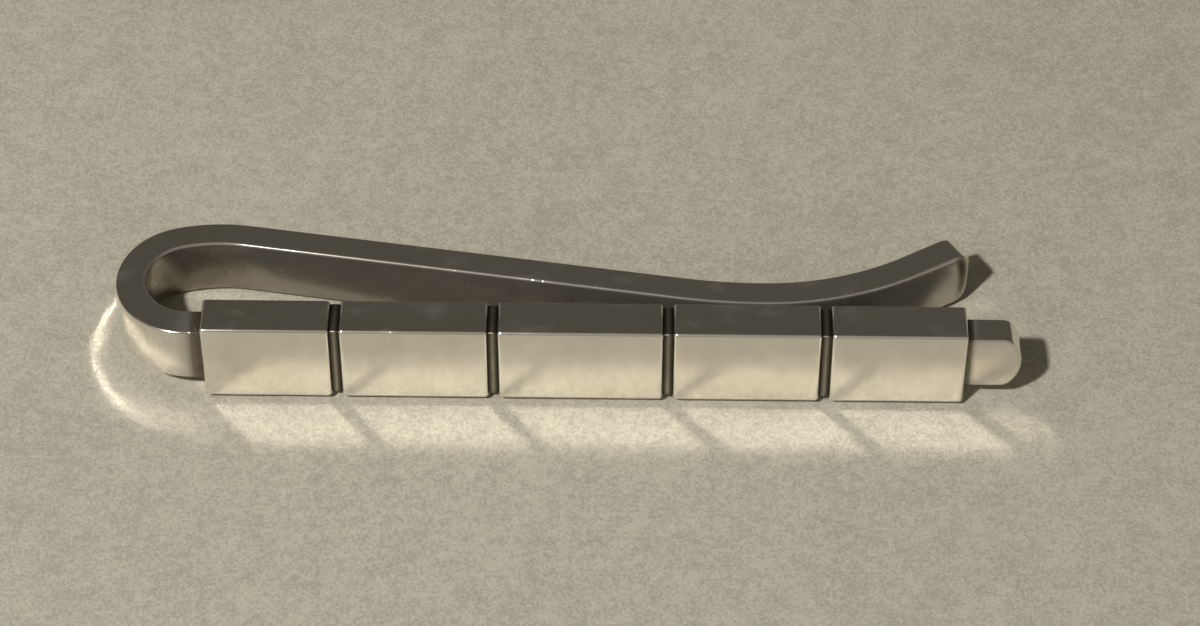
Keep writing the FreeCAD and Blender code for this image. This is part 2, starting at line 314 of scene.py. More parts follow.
class GeometryTree(Graph):
    """A Geometry Nodes tree with named inputs that a modifier sets."""

    def __init__(self, name: str, inputs: Mapping[str, str]) -> None:
        """Make a tree.

        Args:
            name: the tree's name.
            inputs: socket type of each input after the geometry, by name.
        """
        tree = bpy.data.node_groups.new(name, "GeometryNodeTree")
        super().__init__(tree)
        tree.interface.new_socket("Geometry", in_out="INPUT", socket_type="NodeSocketGeometry")
        tree.interface.new_socket("Geometry", in_out="OUTPUT", socket_type="NodeSocketGeometry")
        self.keys = {
            label: tree.interface.new_socket(label, in_out="INPUT", socket_type=kind).identifier
            for label, kind in inputs.items()
        }
        self.inputs = self.node("NodeGroupInput").outputs

    def held(self, name: str) -> Signal:
        """A number that the geometry holds at each point."""
        kind = {"data_type": "FLOAT"}
        return self.signal("GeometryNodeInputNamedAttribute", kind, {"Name": name}, "Attribute")

    def shape(self, label: str) -> bpy.types.NodeSocket:
        """Geometry of the object in a named input."""
        info = self.node(
            "GeometryNodeObjectInfo", {"transform_space": "RELATIVE"}, {"Object": self.inputs[label]}
        )
        return info.outputs["Geometry"]

    def vector(self, operation: str, *operands: Any) -> bpy.types.NodeSocket:
        """Add a Vector Math node and give its vector."""
        sockets = dict(enumerate(operands))
        return self.node("ShaderNodeVectorMath", {"operation": operation}, sockets).outputs["Vector"]

    def scaled(self, vector: bpy.types.NodeSocket, factor: Operand) -> bpy.types.NodeSocket:
        """A vector times a number."""
        return self.node(
            "ShaderNodeVectorMath", {"operation": "SCALE"}, {"Vector": vector, "Scale": factor}
        ).outputs["Vector"]

    def close(self, geometry: bpy.types.NodeSocket) -> None:
        """End the tree with real geometry in its finish.

        Args:
            geometry: what the tree has made.
        """
        real = self.node("GeometryNodeRealizeInstances", None, {"Geometry": geometry})
        dressed = self.node(
            "GeometryNodeSetMaterial",
            None,
            {"Geometry": real.outputs["Geometry"], "Material": self.inputs["Finish"]},
        )
        self.node("NodeGroupOutput", None, {"Geometry": dressed.outputs["Geometry"]})

    def apply(self, carrier: bpy.types.Object, values: Mapping[str, Any]) -> None:
        """Run the tree on an object, keep the plain mesh and note where its edges are.

        Args:
            carrier: the object whose mesh goes into the tree and is replaced by the result.
            values: a value for each named input.
        """
        modifier = carrier.modifiers.new(self.tree.name, "NODES")
        modifier.node_group = self.tree
        for label, value in values.items():
            modifier[self.keys[label]] = value
        even = carrier.modifiers.new("even_normals", "WEIGHTED_NORMAL")
        even.mode = "FACE_AREA"
        even.keep_sharp = True
        keep_evaluated(carrier)
        normals = vertex_normals(carrier.data)
        edges = [2 * abs(normal.z) * math.hypot(normal.x, normal.y) for normal in normals]
        add_attribute(carrier.data, "edge", edges)


def keep_evaluated(piece: bpy.types.Object) -> None:
    """Swap a piece's mesh for what its modifiers make, and drop the modifiers.

    Args:
        piece: the object to change.
    """
    bpy.context.view_layer.update()
    depsgraph = bpy.context.evaluated_depsgraph_get()
    made = bpy.data.meshes.new_from_object(
        piece.evaluated_get(depsgraph), preserve_all_data_layers=True, depsgraph=depsgraph
    )
    piece.modifiers.clear()
    spent = piece.data
    piece.data = made
    if isinstance(spent, bpy.types.Mesh):
        bpy.data.meshes.remove(spent)
    made.name = piece.name


def add_attribute(mesh: bpy.types.Mesh, name: str, values: Sequence[float]) -> None:
    """Give each vertex of a mesh a number."""
    attribute = mesh.attributes.new(name, "FLOAT", "POINT")
    attribute.data.foreach_set("value", values)


def vertex_normals(mesh: bpy.types.Mesh) -> list[Vector]:
    """The direction that each vertex of a mesh faces."""
    return [item.vector.copy() for item in mesh.vertex_normals]


def new_object(name: str, data: bpy.types.ID) -> bpy.types.Object:
    """Put an object into the scene.

    Args:
        name: the object's name.
        data: the mesh, curve, lamp or camera that it holds.

    Returns:
        The object.
    """
    made = bpy.data.objects.new(name, data)
    bpy.context.scene.collection.objects.link(made)
    return made


def new_material(name: str) -> tuple[bpy.types.Material, Graph]:
    """Start a material.

    Args:
        name: the material's name.

    Returns:
        The material and its empty node tree.
    """
    material = bpy.data.materials.new(name)
    material.use_nodes = True
    return material, Graph(material.node_tree)


def mesh_from(bm: bmesh.types.BMesh, name: str) -> bpy.types.Mesh:
    """Make a smooth mesh with its faces turned outwards.

    Args:
        bm: a closed bmesh, which is freed.
        name: the mesh's name.

    Returns:
        The mesh.
    """
    bmesh.ops.recalc_face_normals(bm, faces=bm.faces)
    for face in bm.faces:
        face.smooth = True
    mesh = bpy.data.meshes.new(name)
    bm.to_mesh(mesh)
    bm.free()
    return mesh


def quarter_angles(steps: int) -> list[float]:
    """Angles from 0 to a quarter turn, in even steps."""
    return [math.pi / 2 * step / steps for step in range(steps + 1)]


def share_between(value: float, low: float, high: float) -> float:
    """How far a value is on the way from low to high, from 0 to 1."""
    return min(max((value - low) / (high - low), 0.0), 1.0)


# Finishes


@dataclass(frozen=True)
class PolishedSilver:
    """Silver with a hand polish: soft waves, hairlines, smudges, a trace of warm tarnish, and patina with
    painted shade from the mesh.
    """

    name: str = "polished_silver"
    silver: Colour = (0.945, 0.915, 0.865)
    tarnish: Colour = (0.78, 0.70, 0.58)
    patina: Colour = (0.25, 0.22, 0.175)
    # painted dark: colour of the painted shade beside the blocks and of the painted reflection at the tip
    painted_dark: Colour = (0.07, 0.055, 0.036)
    smudges: Pattern = Pattern((420, 520, 520), 4.0, span=(0.52, 0.74))
    patches: Pattern = Pattern((130, 210, 210), 3.0, span=(0.5, 0.8))
    hairlines: Pattern = Pattern((260, 15000, 9000), 2.0, (0, 4, 3), (0.56, 0.68))
    crossed: Pattern = Pattern((420, 9000, 12000), 2.0, (21, -38, 14), (0.62, 0.70))
    waves: Pattern = Pattern((380, 330, 330), 1.0)
    nicks: Pattern = Pattern((1100, 1100, 1100), 2.0, span=(0.64, 0.8))
    pits_scale: Triple = (900, 900, 900)
    pit_span: Pair = (0.03, 0.10)
    edge_span: Pair = (0.3, 0.9)
    corner_span: Pair = (0.02, 0.09)
    crossed_share: float = 0.7
    patch_tarnish: float = 0.35
    smudge_tarnish: float = 0.15
    patina_base: float = 0.85
    patina_in_patches: float = 0.3
    hairline_base: float = 0.35
    hairline_in_patches: float = 0.65
    roughness: float = 0.11
    smudge_roughness: float = 0.05
    hairline_roughness: float = 0.06
    patina_roughness: float = 0.15
    corner_roughness: float = 0.22
    pit_roughness: float = 0.12
    film: float = 0.035
    patina_film: float = 0.22
    wave_height: float = 0.001
    hairline_height: float = 0.00008
    nick_depth: float = 0.014

    def material(self) -> bpy.types.Material:
        """Build the material.

        Returns:
            A new material with its node tree.
        """
        material, graph = new_material(self.name)
        smudge = graph.noise(self.smudges)
        patches = graph.noise(self.patches)
        hairlines = graph.noise(self.hairlines).at_least(graph.noise(self.crossed) * self.crossed_share)
        scratched = self.hairline_base + self.hairline_in_patches * patches
        specks = graph.signal(
            "ShaderNodeTexVoronoi",
            {"feature": "F1"},
            {"Vector": graph.stretched(self.pits_scale), "Scale": 1.0, "Randomness": 1.0},
            "Distance",
        )
        pits = 1.0 - specks.within(*self.pit_span)
        waves = graph.noise(self.waves)
        edge = graph.attribute("edge")
        nicks = edge.within(*self.edge_span) * graph.noise(self.nicks)
        corner = graph.attribute("corner").within(*self.corner_span)
        # patina, with painted shade beside the blocks and a painted reflection at the tip; above 1 it
        # turns to the painted dark colour
        dulled_and_shaded = graph.attribute("patina")
        dull_and_shade = (dulled_and_shaded * (self.patina_base + self.patina_in_patches * patches)).at_most(1.0)
        painted_dark_share = (dulled_and_shaded - 1.0).at_least(0.0).at_most(1.0)

        tarnished = self.patch_tarnish * patches + self.smudge_tarnish * smudge
        polish = graph.mixed(tarnished, self.silver, self.tarnish)
        colour = graph.mixed(painted_dark_share, graph.mixed(dull_and_shade, polish, self.patina), self.painted_dark)
        roughness = (
            self.roughness
            + self.smudge_roughness * smudge
            + self.hairline_roughness * hairlines * scratched
            + self.patina_roughness * dull_and_shade * (1.0 - edge).at_least(0.0)
            + self.corner_roughness * corner
            + self.pit_roughness * pits
        )
        relief = waves * self.wave_height - hairlines * self.hairline_height - nicks * self.nick_depth
        sockets = {
            "Base Color": colour,
            "Metallic": 1.0 - self.film * smudge - self.patina_film * dull_and_shade,
            "Roughness": roughness,
        }
        graph.surface(relief, sockets)
        return material


@dataclass(frozen=True)
class OxidisedSilver:
    """Silver gone dark in the grooves, lighter along its middle and darker towards the block walls: partly
    rubbed where it stands proud, partly painted reflection of the light in the groove and painted shade at
    its walls.
    """

    name: str = "oxidised_silver"
    dark: Colour = (0.04, 0.036, 0.03)
    rubbed_and_lit: Colour = (0.42, 0.39, 0.32)
    crust: Pattern = Pattern((2600, 2600, 2600), 3.0)
    patches: Pattern = Pattern((600, 600, 600), 2.0)
    rub_base: float = 0.45
    rub_in_patches: float = 0.8
    roughness: float = 0.34
    crust_roughness: float = 0.22
    rub_polish: float = 0.10
    crust_height: float = 0.004

    def material(self) -> bpy.types.Material:
        """Build the material.

        Returns:
            A new material with its node tree.
        """
        material, graph = new_material(self.name)
        crust = graph.noise(self.crust)
        patches = graph.noise(self.patches)
        # lighter in the middle of the spacer, darker towards the block walls: rubbed wear with painted
        # reflection and painted shade
        worn_and_lit = graph.attribute("rub") * (self.rub_base + self.rub_in_patches * patches)
        sockets = {
            "Base Color": graph.mixed(worn_and_lit, self.dark, self.rubbed_and_lit),
            "Metallic": 1.0,
            "Roughness": self.roughness + self.crust_roughness * crust - self.rub_polish * worn_and_lit,
        }
        graph.surface(crust * self.crust_height, sockets)
        return material


@dataclass(frozen=True)
class PaleTable:
    """A matt, pale grey-beige table top with a faint mottle."""

    name: str = "pale_table"
    light: Colour = (0.455, 0.427, 0.346)
    shade: Colour = (0.33, 0.307, 0.246)
    grain: Pattern = Pattern((5600, 5600, 5600), 1.0)
    speckle: Pattern = Pattern((1700, 1700, 1700), 2.0)
    mottle: Pattern = Pattern((420, 420, 420), 3.0)
    cloud: Pattern = Pattern((45, 45, 45), 2.0)
    grain_weight: float = 0.68
    speckle_weight: float = 0.38
    mottle_weight: float = 0.26
    cloud_weight: float = 0.14
    tone_shift: float = 0.23
    tone_span: Pair = (0.3, 0.7)
    roughness: float = 0.85
    gloss: float = 0.2
    grain_height: float = 0.03

    def material(self) -> bpy.types.Material:
        """Build the material.

        Returns:
            A new material with its node tree.
        """
        material, graph = new_material(self.name)
        grain = graph.noise(self.grain)
        tone = (
            self.grain_weight * grain
            + self.speckle_weight * graph.noise(self.speckle)
            + self.mottle_weight * graph.noise(self.mottle)
            + self.cloud_weight * graph.noise(self.cloud)
            - self.tone_shift
        ).within(*self.tone_span)
        sockets = {
            "Base Color": graph.mixed(tone, self.shade, self.light),
            "Roughness": self.roughness,
            "Specular IOR Level": self.gloss,
        }
        graph.surface(grain * self.grain_height, sockets)
        return material


# The blocks and spacers


@dataclass(frozen=True)
class Saddle:
    """A bar with a channel at its back, open to the strip that it sits on.

    Columns are pairs of a place along the bar and the inset of the outside there. From its top, the
    front face falls back by the hollow, in a curve that ends at the hollow's share of its height.
    """

    front_y: float
    back_y: float
    low_z: float
    high_z: float
    floor_y: float
    channel_low: float
    channel_high: float
    corner_radius: float
    columns: Sequence[Pair]
    front_hollow: float = 0.0
    hollow_share: float = 0.75
    front_steps: int = 16
    corner_steps: int = 7
    edge_break: float = 0.035
    break_segments: int = 2
    break_angle: float = 60.0

    def outside(self, inset: float) -> list[Pair]:
        """Points of the outside from the top of the back, round the front, to the bottom.

        Args:
            inset: how far the outside lies inside its full size.

        Returns:
            Pairs of Y and Z.
        """
        radius = max(self.corner_radius - inset, 0.0)
        centre_y = self.front_y + self.corner_radius
        points = [(self.back_y, self.high_z - inset)]
        for corner_y, corner_z, start in (
            (centre_y, self.high_z - self.corner_radius, math.pi / 2),
            (centre_y + self.front_hollow, self.low_z + self.corner_radius, math.pi),
        ):
            for turn in quarter_angles(self.corner_steps):
                angle = start + turn
                points.append((corner_y + radius * math.cos(angle), corner_z + radius * math.sin(angle)))
        top = self.corner_steps + 1
        (front_y, start_z), (_, end_z) = points[top], points[top + 1]
        shares = [step / self.front_steps for step in range(1, self.front_steps)]
        points[top + 1:top + 1] = [
            (
                front_y + self.front_hollow * (1 - max(1 - share / self.hollow_share, 0.0) ** 2),
                start_z + (end_z - start_z) * share,
            )
            for share in shares
        ]
        points.append((self.back_y, self.low_z + inset))
        return points

    def build(self, name: str) -> bpy.types.Object:
        """Make the bar round X = 0.

        Args:
            name: the object's name.

        Returns:
            An object with a closed mesh.
        """
        bm = bmesh.new()

        def vertex(x: float, y: float, z: float) -> bmesh.types.BMVert:
            """Add a vertex at a place in millimetres."""
            return bm.verts.new((x * MM, y * MM, z * MM))

        rings = [[vertex(x, y, z) for y, z in self.outside(inset)] for x, inset in self.columns]
        channel = (
            (self.back_y, self.channel_high),
            (self.floor_y, self.channel_high),
            (self.floor_y, self.channel_low),
            (self.back_y, self.channel_low),
        )
        ends = [[vertex(x, y, z) for y, z in channel] for x, _ in (self.columns[0], self.columns[-1])]
        for ring, other in zip(rings, rings[1:]):
            for first, second, third, fourth in zip(ring, ring[1:], other[1:], other):
                bm.faces.new((first, second, third, fourth))
        for step in range(len(channel) - 1):
            bm.faces.new((ends[0][step], ends[0][step + 1], ends[1][step + 1], ends[1][step]))
        for ring, end in ((rings[0], ends[0]), (rings[-1], ends[1])):
            bm.faces.new((*ring, *reversed(end)))
        for side in (0, -1):
            bm.faces.new((*(ring[side] for ring in rings), ends[1][side], ends[0][side]))
        bar = new_object(name, mesh_from(bm, name))
        broken = bar.modifiers.new("edge_break", "BEVEL")
        broken.width = self.edge_break * MM
        broken.segments = self.break_segments
        broken.limit_method = "ANGLE"
        broken.angle_limit = math.radians(self.break_angle)
        keep_evaluated(bar)
        return bar


class RowTree(GeometryTree):
    """Sets copies of a bar on points, each stretched in its middle to the point's own length."""

    def __init__(self) -> None:
        """Build the tree."""
        super().__init__(
            "bar_row",
            {
                "Bar": "NodeSocketObject",
                "Bar half length": "NodeSocketFloat",
                "Finish": "NodeSocketMaterial",
            },
        )
        copies = self.node(
            "GeometryNodeInstanceOnPoints",
            None,
            {"Points": self.inputs["Geometry"], "Instance": self.shape("Bar")},
        )
        real = self.node("GeometryNodeRealizeInstances", None, {"Geometry": copies.outputs["Instances"]})
        longer = self.held("half_length") - Signal(self, self.inputs["Bar half length"])
        stretch = self.held("end") * longer
        shift = self.node("ShaderNodeCombineXYZ", None, {"X": stretch}).outputs["Vector"]
        placed = self.node(
            "GeometryNodeSetPosition", None, {"Geometry": real.outputs["Geometry"], "Offset": shift}
        )
        self.close(placed.outputs["Geometry"])


@dataclass
class BlockRow:
    """The five polished blocks and the four dark spacers between them."""

    blocks: tuple[str, ...] = (
        "left_end_block",
        "left_middle_block",
        "centre_block",
        "right_middle_block",
        "right_end_block",
    )
    spacers: tuple[str, ...] = ("first_spacer", "second_spacer", "third_spacer", "fourth_spacer")
    block_edge_radius: float = 0.22
    spacer_edge_radius: float = 0.12
    solder_gap: float = 0.02
    block_hollow: float = 0.08
    front_haze: float = 0.04
    haze_falloff: int = 8
    edge_steps: int = 7
    bead_height: float = 0.05
    bead_steps: int = 8
    bar_half_length: float = 3.0
    tree: RowTree = field(default_factory=RowTree)

    def saddle(self, node: str, radius: float, hollow: float, columns: Sequence[Pair]) -> Saddle:
        """A saddle with the section of a solid, fitted round the strip.

        Args:
            node: name of the solid.
            radius: radius of its long front edges.
            hollow: how far its front face falls back.
            columns: places along the bar with the inset of the outside.

        Returns:
            The saddle.
        """
        low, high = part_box(node)
        strip_low, strip_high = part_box("front_strip")
        return Saddle(
            front_y=low.y / MM,
            back_y=high.y / MM,
            low_z=low.z / MM,
            high_z=high.z / MM,
            floor_y=strip_low.y / MM - self.solder_gap,
            channel_low=strip_low.z / MM - self.solder_gap,
            channel_high=strip_high.z / MM + self.solder_gap,
            corner_radius=radius,
            front_hollow=hollow,
            columns=columns,
        )

    def block_columns(self) -> list[Pair]:
        """Columns that round the two ends of a block.

        Returns:
            Places along the bar with the inset of the outside.
        """
        radius = self.block_edge_radius
        right = []
        for angle in quarter_angles(self.edge_steps):
            place = self.bar_half_length - radius + radius * math.sin(angle)
            right.append((place, radius * (1 - math.cos(angle))))
        left = [(-place, inset) for place, inset in reversed(right)]
        return left + right

    def spacer_columns(self) -> list[Pair]:
        """Columns that give a spacer a low bead round its outside."""
        shares = [step / self.bead_steps - 1 for step in range(2 * self.bead_steps + 1)]
        return [(share * self.bar_half_length, self.bead_height * share * share) for share in shares]

    def row(
        self,
        name: str,
        nodes: Sequence[str],
        bar: bpy.types.Object,
        stretches: bool,
        finish: bpy.types.Material,
    ) -> bpy.types.Object:
        """Set one bar per solid along the clip.

        Args:
            name: the piece's name.
            nodes: the solids that the row stands for.
            bar: the bar to copy.
            stretches: whether only the bar's middle takes up a change of length.
            finish: the row's material.

        Returns:
            The finished row, one mesh.
        """
        boxes = [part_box(node) for node in nodes]
        points = bpy.data.meshes.new(name)
        points.from_pydata([((low.x + high.x) / 2, 0.0, 0.0) for low, high in boxes], [], [])
        add_attribute(points, "half_length", [(high.x - low.x) / 2 for low, high in boxes])
        places = [vertex.co.x / (self.bar_half_length * MM) for vertex in bar.data.vertices]
        ends = [math.copysign(1.0, place) for place in places] if stretches else places
        add_attribute(bar.data, "end", ends)
        # for the spacers: lighter middle, darker ends at the block walls, rubbed wear with painted
        # reflection and painted shade
        add_attribute(bar.data, "rub", [max(1.0 - abs(place), 0.0) ** 2 for place in places])
        corners = []
        for normal in vertex_normals(bar.data):
            haze = self.front_haze * max(-normal.y, 0.0) ** self.haze_falloff
            corners.append(max(abs(normal.x * normal.y * normal.z), haze))
        add_attribute(bar.data, "corner", corners)
        piece = new_object(name, points)
        self.tree.apply(
            piece, {"Bar": bar, "Bar half length": self.bar_half_length * MM, "Finish": finish}
        )
        bpy.data.objects.remove(bar)
        return piece

    def build(self, polished: bpy.types.Material, oxidised: bpy.types.Material) -> list[bpy.types.Object]:
        """Make and place both rows.

        Args:
            polished: finish of the blocks.
            oxidised: finish of the spacers.

        Returns:
            The row of blocks and the row of spacers.
        """
        block = self.saddle(
            self.blocks[0], self.block_edge_radius, self.block_hollow, self.block_columns()
        ).build("block")
        blocks = self.row("polished_blocks", self.blocks, block, True, polished)
        spacer = self.saddle(
            self.spacers[0], self.spacer_edge_radius, 0.0, self.spacer_columns()
        ).build("spacer")
        spacers = self.row("groove_spacers", self.spacers, spacer, False, oxidised)
        for piece, nodes, slot in (
            (blocks, self.blocks, Slot.POLISHED),
            (spacers, self.spacers, Slot.OXIDISED),
        ):
            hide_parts(*nodes)
            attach(piece, Body.BAR.value)
        return [blocks, spacers]


# The formed strip


@dataclass(frozen=True)
class PathStep:
    """A point of the strip's middle line, with the run that leads to it."""

    x: float
    y: float
    run: float


class Walker:
    """Walks the strip's middle line, straight ahead and round arcs."""

    def __init__(self, x: float, y: float, heading: float, arc_step: float) -> None:
        """Stand at the start.

        Args:
            x: place along the clip.
            y: place across the clip.
            heading: direction in degrees.
            arc_step: largest turn between two points, in degrees.
        """
        self.heading = math.radians(heading)
        self.arc_step = math.radians(arc_step)
        self.steps = [PathStep(x, y, 0.0)]

    def _to(self, x: float, y: float) -> None:
        """Add a point."""
        last = self.steps[-1]
        self.steps.append(PathStep(x, y, last.run + math.hypot(x - last.x, y - last.y)))

    def straight(self, length: float, pieces: int) -> int:
        """Walk ahead.

        Args:
            length: how far.
            pieces: how many steps to take.

        Returns:
            The number of the point reached.
        """
        start = self.steps[-1]
        for piece in range(1, pieces + 1):
            reach = length * piece / pieces
            self._to(start.x + reach * math.cos(self.heading), start.y + reach * math.sin(self.heading))
        return len(self.steps) - 1

    def turn(self, way: Turn, radius: float, angle: float) -> int:
        """Walk round an arc.

        Args:
            way: to the left or to the right.
            radius: the arc's radius.
            angle: how far to turn, in degrees.

        Returns:
            The number of the point reached.
        """
        start = self.steps[-1]
        side = self.heading + way.value * math.pi / 2
        centre_x = start.x + radius * math.cos(side)
        centre_y = start.y + radius * math.sin(side)
        sweep = math.radians(angle)
        count = max(2, math.ceil(sweep / self.arc_step))
        for step in range(1, count + 1):
            spoke = side + math.pi + way.value * sweep * step / count
            self._to(centre_x + radius * math.cos(spoke), centre_y + radius * math.sin(spoke))
        self.heading += way.value * sweep
        return len(self.steps) - 1


class BendTree(GeometryTree):
    """Bends a flat blank along a path: its X becomes the run along the path."""

    def __init__(self) -> None:
        """Build the tree."""
        super().__init__(
            "strip_bend",
            {
                "Path": "NodeSocketObject",
                "Middle height": "NodeSocketFloat",
                "Finish": "NodeSocketMaterial",
            },
        )
        place = self.node("GeometryNodeInputPosition").outputs["Position"]
        flat = self.node("ShaderNodeSeparateXYZ", None, {"Vector": place}).outputs
        sample = self.node(
            "GeometryNodeSampleCurve",
            {"mode": "LENGTH", "use_all_curves": True},
            {"Curves": self.shape("Path"), "Length": flat["X"]},
        )
        up = self.node("ShaderNodeCombineXYZ", None, {"Z": 1.0}).outputs["Vector"]
        inwards = self.vector("NORMALIZE", self.vector("CROSS_PRODUCT", sample.outputs["Tangent"], up))
        height = Signal(self, flat["Z"]) + Signal(self, self.inputs["Middle height"])
        across = self.vector("ADD", self.scaled(inwards, Signal(self, flat["Y"])), self.scaled(up, height))
        bent = self.node(
            "GeometryNodeSetPosition",
            None,
            {
                "Geometry": self.inputs["Geometry"],
                "Position": self.vector("ADD", sample.outputs["Position"], across),
            },
        )
        self.close(bent.outputs["Geometry"])


@dataclass
class SpringStrip:
    """The strip: front leg with its tongue, hairpin bend, and sprung arm with its flared tip.

    The inner patina pairs a run beyond the front leg with how dull the inner face is there.
    """

    edge_radius: float = 0.2
    end_arc_radius: float = 2.7
    tongue_corner_radius: float = 0.8
    tip_corner_radius: float = 1.4
    bend_inside_radius: float = 2.63
    crown_start_angle: float = 15.0
    crown_inside_radius: float = 8.87
    pinch_gap: float = 0.94
    pinch_reach: float = 10.9
    throat_radius: float = 32.5
    flare_radius: float = 16.5
    flare_angle: float = 30.8
    tip_length: float = 4.05
    bend_hollow: float = 0.19
    arm_crown: float = 0.10
    tip_crown: float = 0.03
    tip_ease_radius: float = 0.9
    tongue_patina: float = 0.22
    inner_patina: tuple[Pair, ...] = ((0.0, 1.0), (50.0, 1.0), (57.0, 0.75), (62.0, 0.55))
    # Painted reflection: a dark band along the round end of the tip stands in for the tip's own shadow
    # seen in its inner face.
    tip_reflection_strength: float = 2.0
    tip_reflection_depth: float = 0.85
    tip_reflection_bow: float = 0.1
    tip_reflection_spread: float = 0.26
    # Painted shade: the strip is darkened beside both ends of the bar, on the bend side and on the tongue
    # side, where the blocks shade it.
    block_shade_strength: float = 1.8
    bend_shade_reach: float = 0.95
    tongue_shade_reach: float = 0.4
    end_clear_share: float = 0.6
    arc_step: float = 0.6
    leg_steps: int = 240
    arm_steps: int = 6
    tip_steps: int = 30
    edge_steps: int = 6
    end_steps: int = 40
    across_steps: int = 8
    tree: BendTree = field(default_factory=BendTree)

    def __post_init__(self) -> None:
        """Take the leg's place from its solid and walk the middle line."""
        low, high = (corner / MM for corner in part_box("front_strip"))
        self.thickness = high.y - low.y
        self.width = high.z - low.z
        self.middle_z = (low.z + high.z) / 2
        self.bar_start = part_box("left_end_block")[0].x / MM
        self.bar_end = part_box("right_end_block")[1].x / MM
        half = self.thickness / 2
        slope, arm_length = self.arm_line(Vector((low.x, high.y + self.bend_inside_radius)), high.y)
        walker = Walker(high.x, high.y - half, 180.0, self.arc_step)
        self.leg_end = walker.straight(high.x - low.x, self.leg_steps)
        walker.turn(Turn.RIGHT, self.bend_inside_radius + half, 180.0 - self.crown_start_angle)
        self.bend_end = walker.turn(Turn.RIGHT, self.crown_inside_radius + half, self.crown_start_angle)
        walker.turn(Turn.RIGHT, self.crown_inside_radius + half, slope)
        walker.straight(arm_length, self.arm_steps)
        walker.turn(Turn.LEFT, self.throat_radius + half, slope)
        walker.turn(Turn.LEFT, self.flare_radius + half, self.flare_angle)
        walker.straight(self.tip_length, self.tip_steps)
        self.steps = walker.steps
        self.runs = [step.run for step in walker.steps]

    def arm_line(self, bend: Vector, back_y: float) -> Pair:
        """Find the straight of the arm, tangent to the crown and the throat.

        Args:
            bend: centre of the bend.
            back_y: back of the front leg.

        Returns:
            Its slope in degrees and its length.
        """
        start = math.radians(self.crown_start_angle)
        step = self.crown_inside_radius - self.bend_inside_radius
        crown = bend + step * Vector((math.sin(start), -math.cos(start)))
        throat = Vector((self.pinch_reach, back_y + self.pinch_gap + self.thickness + self.throat_radius))
        reach = throat - crown
        radii = self.crown_inside_radius + self.throat_radius + self.thickness
        slope = math.asin(radii / reach.length) - math.atan2(reach.y, reach.x)
        return math.degrees(slope), math.sqrt(reach.length_squared - radii * radii)

    def rims(self) -> list[Pair]:
        """Rings from the outer face, over both rounded edges, to the inner face.

        Returns:
            For each ring its inset and its place through the thickness.
        """
        flat = self.thickness / 2 - self.edge_radius
        rings = []
        for angle in quarter_angles(self.edge_steps):
            inset = self.edge_radius * (1 - math.cos(angle))
            rings.append((inset, flat + self.edge_radius * math.sin(angle)))
        outer = [(inset, -place) for inset, place in reversed(rings)]
        return outer + rings

    def end_point(self, angle: float, inset: float, corner: float) -> Pair:
        """A point of a rounded end.

        Args:
            angle: direction of the outline's normal, 0 along the strip and a quarter turn across.
            inset: how far inside the outline.
            corner: radius of the end's two corners.

        Returns:
            Distance from the end and from the middle line.
        """
        corner_z = self.width / 2 - corner
        spoke = self.end_arc_radius - corner
        if math.sin(angle) * spoke <= corner_z:
            centre, rise, radius = self.end_arc_radius, 0.0, self.end_arc_radius
        else:
            centre = self.end_arc_radius - math.sqrt(spoke * spoke - corner_z * corner_z)
            rise, radius = corner_z, corner
        reach = radius - inset
        return centre - reach * math.cos(angle), rise + reach * math.sin(angle)

    def ease(self, run: float) -> float:
        """How far the inner face falls back towards the end of the tip.

        Args:
            run: place along the strip.

        Returns:
            Depth below the inner face.
        """
        radius = self.tip_ease_radius
        reach = min(max(radius - (self.runs[-1] - run), 0.0), radius)
        return radius - math.sqrt(radius * radius - reach * reach)

    def columns(self, first: int, last: int, start: EndShape, end: EndShape) -> list[Outline]:
        """Columns of a blank, each a function from an inset to a run and a half width.

        Args:
            first: number of the path's point where the blank starts.
            last: number of the point where it ends.
            start: shape of its start.
            end: shape of its end.

        Returns:
            The functions, in order along the blank.
        """
        half = self.width / 2
        clear = self.end_arc_radius * self.end_clear_share
        low, high = self.runs[first], self.runs[last]
        corners = {EndShape.TONGUE: self.tongue_corner_radius, EndShape.TIP: self.tip_corner_radius}

        def straight(run: float) -> Outline:
            """A column square to the strip."""
            return lambda inset: (run, half - inset)

        def rounded(angle: float, origin: float, way: float, shape: EndShape) -> Outline:
            """A column at a rounded end."""

            def place(inset: float) -> Pair:
                """Run and half width at an inset."""
                depth, reach = self.end_point(angle, inset, corners[shape])
                return origin + way * depth, reach

            return place

        angles = quarter_angles(self.end_steps)
        made = []
        if start is not EndShape.CUT:
            made += [rounded(angle, low, 1.0, start) for angle in angles]
        inner_low = low if start is EndShape.CUT else low + clear
        inner_high = high if end is EndShape.CUT else high - clear
        made += [straight(run) for run in self.runs[first:last + 1] if inner_low <= run <= inner_high]
        if end is not EndShape.CUT:
            made += [rounded(angle, high, -1.0, end) for angle in reversed(angles)]
        return made

    def section(self, run: float) -> Pair:
        """How bending has shaped the strip's section.

        Args:
            run: place along the strip.

        Returns:
            Depth of the hollow in the outer face, and how far the inner face falls to its edges.
        """
        low, high = self.runs[self.leg_end], self.runs[self.bend_end]
        share = share_between(run, low, high)
        along = share_between(run, high, self.runs[-1])
        hollow = self.bend_hollow * math.sin(math.pi * share)
        crown = self.arm_crown * math.sin(math.pi / 2 * share) ** 2
        return hollow, crown + (self.tip_crown - self.arm_crown) * along ** 2

    def tip_shadow_reflection(self, run: float, across: float) -> float:
        """A painted reflection of the tip's own shadow: a dark band along the round end of the tip,
        strongest in its upper half.

        Args:
            run: place along the strip.
            across: height over the strip's middle line.

        Returns:
            How much it adds to the dull finish.
        """
        middle = self.runs[-1] - self.tip_reflection_depth - self.tip_reflection_bow * across * across
        height = 2 * across / self.width
        upper = self.tip_reflection_strength * (1 + height) / 2 * (1 - height ** 4)
        return upper * math.exp(-((run - middle) / self.tip_reflection_spread) ** 2)

